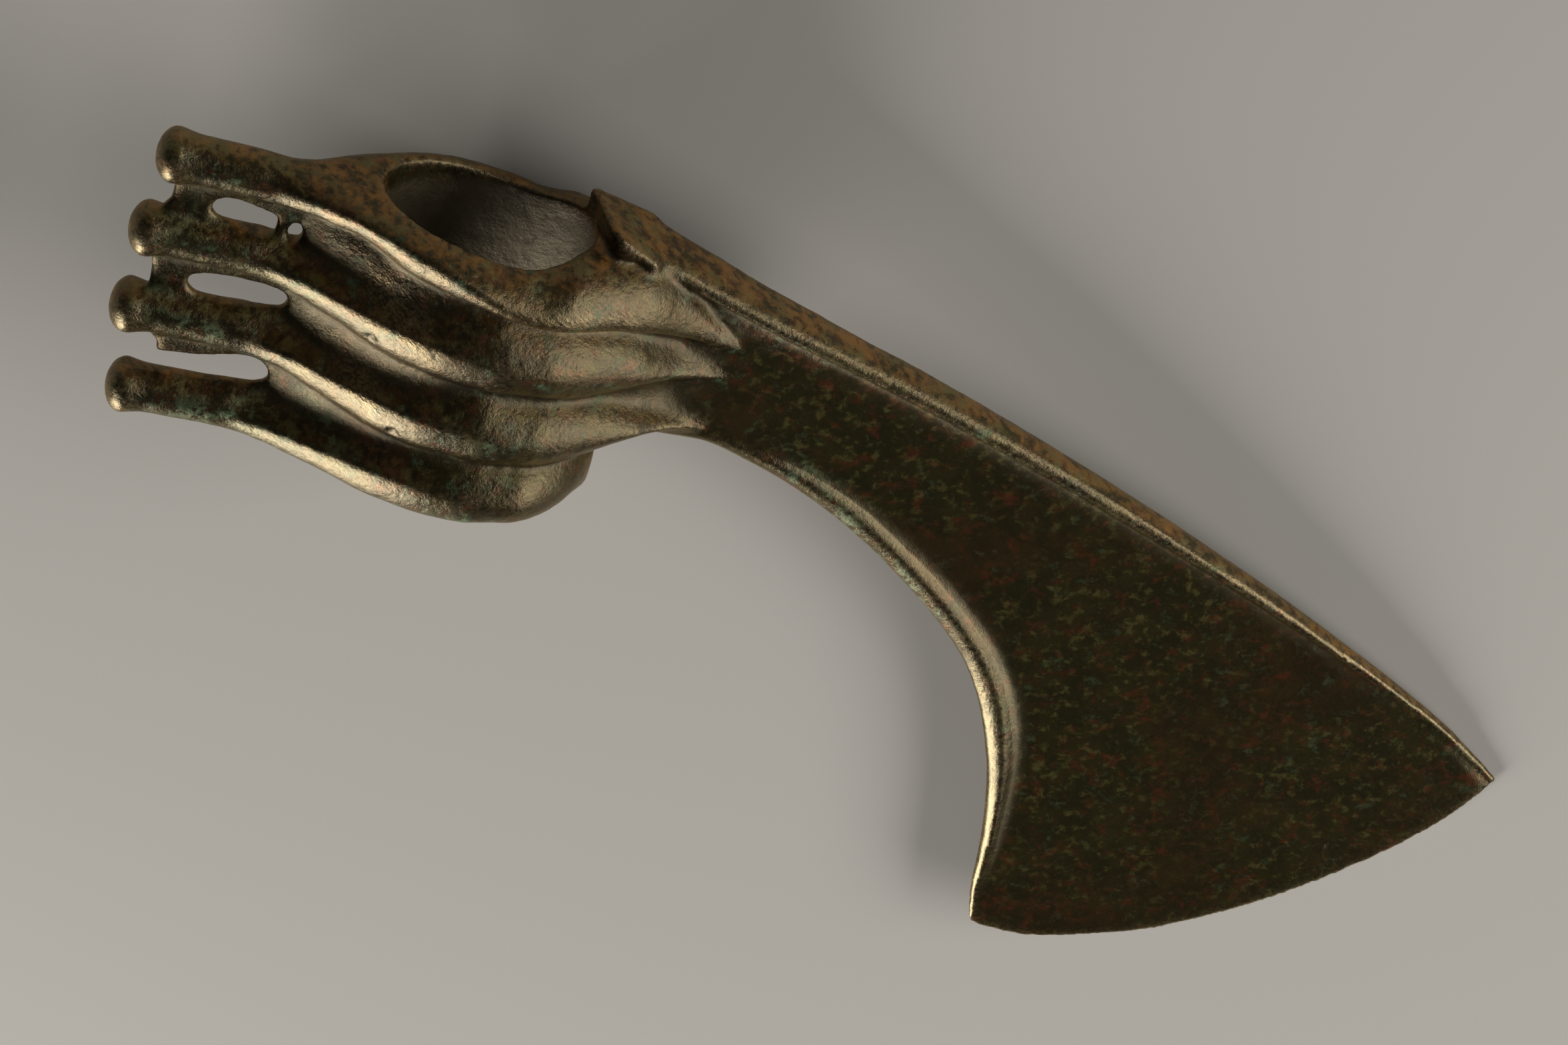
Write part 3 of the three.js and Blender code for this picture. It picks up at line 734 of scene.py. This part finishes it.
def lay_down(mesh):
    """Lays the head in the frame, and notes its crests, the shaded inside of the shaft hole, the plate and
    the spots for the patina.
    """
    edges, degree = mesh_edges(mesh)
    points, normals = read_points(mesh), read_normals(mesh)
    broad = relax(points, edges, degree, BROAD_ROUNDS)
    crest = np.einsum("ij,ij->i", points - broad, normals)
    crest = relax(crest[:, None], edges, degree, 2)[:, 0]
    sizes = axe_sizes()
    hole_x = (points[:, 0] - HOLE_CENTRE_X) / (sizes.hole_length / MM / 2)
    across = np.hypot(hole_x, points[:, 2] / (sizes.hole_width / MM / 2))
    low, high = CAD_BOX
    placed = np.clip(to_frame(points), np.array(low) + 1e-6, np.array(high) - 1e-6)
    move_points(mesh, placed)
    write_layer(mesh, "crest", crest)
    # Painted shade down the shaft hole: the hole's inner wall, below the top rim.
    write_layer(mesh, "shaded_hole", soft_step(1.05, 1.01, across) * soft_step(0.5, -2.5, points[:, 1]))
    write_layer(mesh, "plate", soft_step(2.1, 1.8, np.abs(points[:, 2])) * soft_step(26, 36, points[:, 0]))
    write_layer(mesh, "green", spots(points, GREEN_SPOTS))
    write_layer(mesh, "red", spots(points, RED_SPOTS))
    write_layer(mesh, "wear_and_highlight_spot", spots(points, WEAR_AND_HIGHLIGHT_SPOTS))


def write_layer(mesh, name, values):
    """One value at each point, for the patina to read."""
    mesh.attributes.new(name, "FLOAT", "POINT").data.foreach_set("value", values)


# Places on the visible side, each with its X, Y, half length, half width, slant in degrees and strength.
GREEN_SPOTS = [(-38, -26, 7, 2.0, -8, 1.0), (-25.5, -14, 4, 2, -30, 0.8), (-19, -37, 6, 2.2, -35, 0.9),
               (-45, -8, 3, 3, 0, 0.5), (-46, -23, 3, 4, 0, 0.5), (62, -44, 13, 1.4, -46, 0.9),
               (77, -58, 8, 1.3, -52, 0.8), (-38, -42, 8, 3, 0, 0.7), (8, -30, 5, 1.5, 0, 0.6),
               (20, -20, 9, 1.2, -8, 0.7), (3, -46, 5, 2, 0, 0.6), (40, -4.5, 5, 1.5, -24, 0.6),
               (30, 0, 3, 2, 0, 0.4), (96, -100, 14, 1.2, -84, 0.5), (-30, -40, 6, 3, -10, 0.6)]
RED_SPOTS = [(-11.5, -37, 6, 2.0, -36, 1.0), (-33, -26, 5, 1.5, -10, 0.8), (12, -9, 5, 2.5, 0, 0.5),
             (22, -19, 9, 1.4, -10, 0.7), (48, -15, 9, 1.3, -24, 0.9), (66, -22, 12, 1.2, -25, 0.7),
             (35, -12.5, 3, 1.5, -40, 0.6), (-20, -33.5, 3, 1, -40, 0.6)]
# Spots of worn metal with scratches, which also paint highlights: on the front rib faces and valleys, and on
# each spike knob where the highlight falls.
WEAR_AND_HIGHLIGHT_SPOTS = [(-13, -10.5, 7, 3, -38, 1.0), (-15.5, -26, 7, 2.6, -36, 0.7),
                (16, -8, 12, 4, -8, 0.6), (-45.6, 0, 3.2, 1.3, 78, 0.75), (-47.6, -11.4, 3.2, 1.3, 78, 0.7),
                (-48.4, -26, 3.4, 1.3, 78, 0.75), (-46.8, -41.2, 3.2, 1.3, 78, 0.8)]


def spots(points, places):
    """How strongly each point lies in one of the named long spots of the front side."""
    total = np.zeros(len(points))
    for x, y, length, width, slant, strength in places:
        turn = math.radians(slant)
        dx, dy = points[:, 0] - x, points[:, 1] - y
        along = (dx * math.cos(turn) + dy * math.sin(turn)) / length
        beside = (dy * math.cos(turn) - dx * math.sin(turn)) / width
        total = np.maximum(total, strength * np.exp(-1.2 * (along ** 2 + beside ** 2)))
    return total * (points[:, 2] > -0.5)


class Socket:
    """A shader socket that takes part in arithmetic."""

    def __init__(self, tree, socket):
        self.tree, self.socket = tree, socket

    def math(self, operation, *others, clamp=False):
        return self.tree.node("ShaderNodeMath", {"operation": operation, "use_clamp": clamp},
                              dict(enumerate((self, *others))))

    def __add__(self, other):
        return self.math("ADD", other)

    def __sub__(self, other):
        return self.math("SUBTRACT", other)

    def __mul__(self, other):
        return self.math("MULTIPLY", other)

    def __rsub__(self, other):
        return self.tree.node("ShaderNodeMath", {"operation": "SUBTRACT"}, {0: other, 1: self})

    __radd__ = __add__
    __rmul__ = __mul__

    def clamped(self):
        return self.math("ADD", 0.0, clamp=True)

    def step(self, low, high):
        """0 below low, 1 above high, smooth between."""
        return self.tree.node("ShaderNodeMapRange", {"interpolation_type": "SMOOTHSTEP"},
                              {"Value": self, "From Min": low, "From Max": high})


class ShaderTree:
    """Adds nodes to one material."""

    def __init__(self, material):
        material.use_nodes = True
        self.nodes, self.links = material.node_tree.nodes, material.node_tree.links
        self.nodes.clear()
        self.bsdf = self.nodes.new("ShaderNodeBsdfPrincipled")
        output = self.nodes.new("ShaderNodeOutputMaterial")
        self.links.new(self.bsdf.outputs[0], output.inputs[0])

    def node(self, kind, settings=None, inputs=None, out=0):
        made = self.nodes.new(kind)
        for name, value in (settings or {}).items():
            setattr(made, name, value)
        for name, value in (inputs or {}).items():
            self.feed(made.inputs[name], value)
        return Socket(self, made.outputs[out])

    def feed(self, target, value):
        if isinstance(value, Socket):
            self.links.new(value.socket, target)
        else:
            target.default_value = value

    def mix(self, factor, first, second):
        """Two colours mixed by a factor."""
        return self.node("ShaderNodeMix", {"data_type": "RGBA"}, {0: factor, 6: first, 7: second}, out=2)

    def noise(self, place, scale, detail, rough, distortion=0.0):
        return self.node("ShaderNodeTexNoise", {}, {"Vector": place, "Scale": scale, "Detail": detail,
                                                    "Roughness": rough, "Distortion": distortion})


# Direction of the ribs where they rise, along which the wear scratches run.
RUB_SLANT = math.radians(-35)


def bronze_material(colours):
    """Dark green-brown patina with tan tops, worn crests, malachite and red oxide, with painted light, shade
    and highlights.
    """
    material = bpy.data.materials.new("bronze_patina")
    tree = ShaderTree(material)
    place = tree.node("ShaderNodeTexCoord", out=3)
    normal = tree.node("ShaderNodeTexCoord", out=1)
    upward = tree.node("ShaderNodeSeparateXYZ", {}, {0: normal}, out=1)
    outward = tree.node("ShaderNodeSeparateXYZ", {}, {0: normal}, out=2).math("ABSOLUTE")
    crest, shaded_hole, plate, green, red, wear_and_highlight_spot = (tree.node("ShaderNodeAttribute", {"attribute_name": name}, out=2)
                                             for name in ("crest", "shaded_hole", "plate", "green", "red", "wear_and_highlight_spot"))
    high, low = crest.step(0.05, 0.42), crest.step(-0.02, -0.22)
    broad = tree.noise(place, 30, 5, 0.62)
    blotch = tree.noise(place, 150, 7, 0.68, 0.3)
    speck = tree.noise(place, 560, 6, 0.66, 0.2)
    grain = tree.noise(place, 1500, 4, 0.6)
    along_ribs = tree.node("ShaderNodeMapping", {"vector_type": "TEXTURE"},
                           {"Vector": place, "Rotation": (0, 0, RUB_SLANT), "Scale": (14, 1, 1)})
    scratch = tree.noise(along_ribs, 2600, 3, 0.6)
    # Sideways faces, which get the tan as a painted rim light.
    rim = outward.step(0.55, 0.15)
    colour = tree.mix(broad.step(0.4, 0.6), colours.brown, colours.olive)
    colour = tree.mix((blotch.step(0.4, 0.58) * (0.9 - plate * 0.45)).clamped(), colour, colours.dark)
    # Painted shade: the hollows darken towards the near black colour.
    colour = tree.mix((low * 0.5).clamped(), colour, colours.dark)
    mottle = (speck * 3.2 + blotch * 1.8 - 2.15).clamped()
    # Tan patina in mottled patches, stronger on the tops as painted light from above and on the sideways
    # faces as painted rim light.
    tan_patina_and_painted_light = (upward.step(0.5, 1.0) * 0.9 + rim * 0.8) * mottle
    colour = tree.mix(tan_patina_and_painted_light.clamped(), colour, colours.tan)
    moss = upward.step(0.3, 0.9) * speck.step(0.42, 0.54) * 0.85
    moss = moss * tree.noise(place, 210, 7, 0.72, 0.1).step(0.46, 0.58)
    colour = tree.mix(moss.clamped(), colour, colours.ochre)
    ochre = speck.step(0.5, 0.68) * broad.step(0.4, 0.6) * (0.5 + plate * 0.1)
    colour = tree.mix(ochre.clamped(), colour, colours.ochre)
    rust = tree.noise(place, 330, 6, 0.72, 0.2).step(0.52, 0.68) * (0.7 + plate * 0.1)
    rust = rust + red * speck.step(0.44, 0.56) * 0.9
    colour = tree.mix(rust.clamped(), colour, colours.cuprite)
    verdigris = tree.noise(place, 300, 8, 0.75, 0.1).step(0.55, 0.68) * (0.75 - plate * 0.45)
    verdigris = verdigris + green * speck.step(0.46, 0.58) * 0.9
    colour = tree.mix(verdigris.clamped(), colour, colours.malachite)
    # Worn metal on the crests, and painted highlights at the listed spots.
    worn_and_highlight_tone = (high * grain.step(0.42, 0.6) * 0.45 + wear_and_highlight_spot * scratch.step(0.44, 0.6) * 0.8).clamped()
    worn_and_highlight_tone = (worn_and_highlight_tone - verdigris * 0.8).clamped()
    colour = tree.mix(worn_and_highlight_tone, colour, colours.worn_and_highlight_tone)
    # Painted shade down the shaft hole.
    colour = tree.mix((shaded_hole * 0.92).clamped(), colour, colours.dark)
    tree.feed(tree.bsdf.inputs["Base Color"], colour)
    matt = (verdigris * 0.3 + tan_patina_and_painted_light * 0.1 + moss * 0.2 + shaded_hole * 0.3 + ochre * 0.15 + low * 0.2).clamped()
    rough = 0.2 + grain * 0.16 + matt - wear_and_highlight_spot * 0.12 - plate * 0.05
    tree.feed(tree.bsdf.inputs["Roughness"], rough.clamped())
    tree.feed(tree.bsdf.inputs["Metallic"], (0.5 + worn_and_highlight_tone * 0.45 - matt * 1.1).clamped())
    tree.feed(tree.bsdf.inputs["IOR"], 2.1)
    tree.feed(tree.bsdf.inputs["Specular Tint"], (1.0, 0.84, 0.56, 1.0))
    height = (grain * 0.45 + speck * 0.55) * (1.0 - plate * 0.72) + wear_and_highlight_spot * (scratch - 0.5) * 0.7
    pits = tree.node("ShaderNodeBump", {}, {"Strength": 0.42, "Distance": 0.0006, "Height": height})
    fine = tree.noise(place, 4200, 3, 0.6)
    skin = {"Strength": 0.3, "Distance": 0.00016, "Height": fine, "Normal": pits}
    tree.feed(tree.bsdf.inputs["Normal"], tree.node("ShaderNodeBump", {}, skin))
    return material


class AXE_OT_head(bpy.types.Operator):
    """Builds the bronze axe head"""
    bl_idname = "axe.build_head"
    bl_label = "Build the axe head"

    def execute(self, context):
        piece = casting_mesh()
        weather(piece.data)
        thin_out(piece)
        lay_down(piece.data)
        piece.data.materials.clear()
        piece.data.materials.append(bronze_material(context.scene.axe_colours))
        piece.data.polygons.foreach_set("use_smooth", np.ones(len(piece.data.polygons), dtype=bool))
        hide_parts("axe_head")
        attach(piece, "root")
        return {"FINISHED"}


def photo_camera():
    """A long lens at the photograph's viewing angle."""
    pixels = FOCAL_LENGTH / SENSOR_WIDTH * PHOTO_WIDTH
    aside = (ORIGIN_PIXEL[0] - PHOTO_WIDTH / 2) / pixels
    above = (PHOTO_HEIGHT / 2 - ORIGIN_PIXEL[1]) / pixels
    turn = lying_turn()
    to_camera, right = turn @ TO_CAMERA, turn @ TO_RIGHT
    right = (right - to_camera * right.dot(to_camera)).normalized()
    up = to_camera.cross(right)
    back = (to_camera + aside * right + above * up).normalized()
    right = (right - back * right.dot(back)).normalized()
    up = back.cross(right)
    depth = pixels / ORIGIN_SCALE
    place = CASTING_ORIGIN + depth * (back - aside * right - above * up)
    camera = bpy.data.objects.new("camera", bpy.data.cameras.new("camera"))
    camera.data.lens = FOCAL_LENGTH
    camera.data.sensor_width = SENSOR_WIDTH
    camera.data.clip_end = 20
    camera.matrix_world = Matrix.Translation(place * MM) @ Matrix((right, up, back)).transposed().to_4x4()
    bpy.context.scene.collection.objects.link(camera)
    bpy.context.scene.camera = camera


def soft_box(name, round_degrees, up_degrees, distance, size, power):
    """A rectangular light that faces the object from a direction."""
    data = bpy.data.lights.new(name, "AREA")
    data.shape = "RECTANGLE"
    data.size, data.size_y = size
    data.energy = power
    data.color = (1.0, 0.95, 0.87)
    lamp = bpy.data.objects.new(name, data)
    turn, rise = math.radians(round_degrees), math.radians(up_degrees)
    aim = Vector((math.cos(turn) * math.cos(rise), math.sin(turn) * math.cos(rise), math.sin(rise)))
    lamp.location = aim * distance
    lamp.rotation_euler = aim.to_track_quat("Z", "Y").to_euler()
    bpy.context.scene.collection.objects.link(lamp)


class AXE_OT_stage(bpy.types.Operator):
    """Lays the pale floor and sets the soft lights and the camera"""
    bl_idname = "axe.build_stage"
    bl_label = "Build the stage"

    def execute(self, context):
        bm = bmesh.new()
        bmesh.ops.create_grid(bm, x_segments=4, y_segments=4, size=3.0)
        floor = new_object("floor", bm)
        material = bpy.data.materials.new("floor_paper")
        tree = ShaderTree(material)
        tree.feed(tree.bsdf.inputs["Base Color"], context.scene.axe_colours.floor)
        tree.feed(tree.bsdf.inputs["Roughness"], 0.9)
        floor.data.materials.append(material)
        world = bpy.data.worlds.new("studio")
        world.use_nodes = True
        world.node_tree.nodes["Background"].inputs[0].default_value = (1.0, 0.96, 0.9, 1.0)
        world.node_tree.nodes["Background"].inputs[1].default_value = 0.04
        context.scene.world = world
        context.scene.view_settings.view_transform = "Standard"
        soft_box("right box", 4, 30, 0.9, (1.15, 0.4), 7.4)
        soft_box("front left box", -123, 16, 0.9, (0.46, 0.52), 11.5)
        photo_camera()
        return {"FINISHED"}


class AXE_PT_panel(bpy.types.Panel):
    """Lists the sizes, the colours and the steps of the build"""
    bl_label = "Axe head"
    bl_space_type = "VIEW_3D"
    bl_region_type = "UI"
    bl_category = "Axe head"

    def draw(self, context):
        for group in (context.scene.axe_sizes, context.scene.axe_colours):
            for name in group.bl_rna.properties.keys():
                if name not in ("rna_type", "name"):
                    self.layout.prop(group, name)
        for operator in (AXE_OT_head, AXE_OT_stage):
            self.layout.operator(operator.bl_idname)


CLASSES = (AxeSizes, AxeColours, AXE_OT_head, AXE_OT_stage, AXE_PT_panel)


def register():
    for item in CLASSES:
        bpy.utils.register_class(item)
    bpy.types.Scene.axe_sizes = PointerProperty(type=AxeSizes)
    bpy.types.Scene.axe_colours = PointerProperty(type=AxeColours)


def unregister():
    del bpy.types.Scene.axe_colours
    del bpy.types.Scene.axe_sizes
    for item in reversed(CLASSES):
        bpy.utils.unregister_class(item)


def main():
    register()
    bpy.ops.axe.build_head()
    bpy.ops.axe.build_stage()


if __name__ == "__main__":
    main()
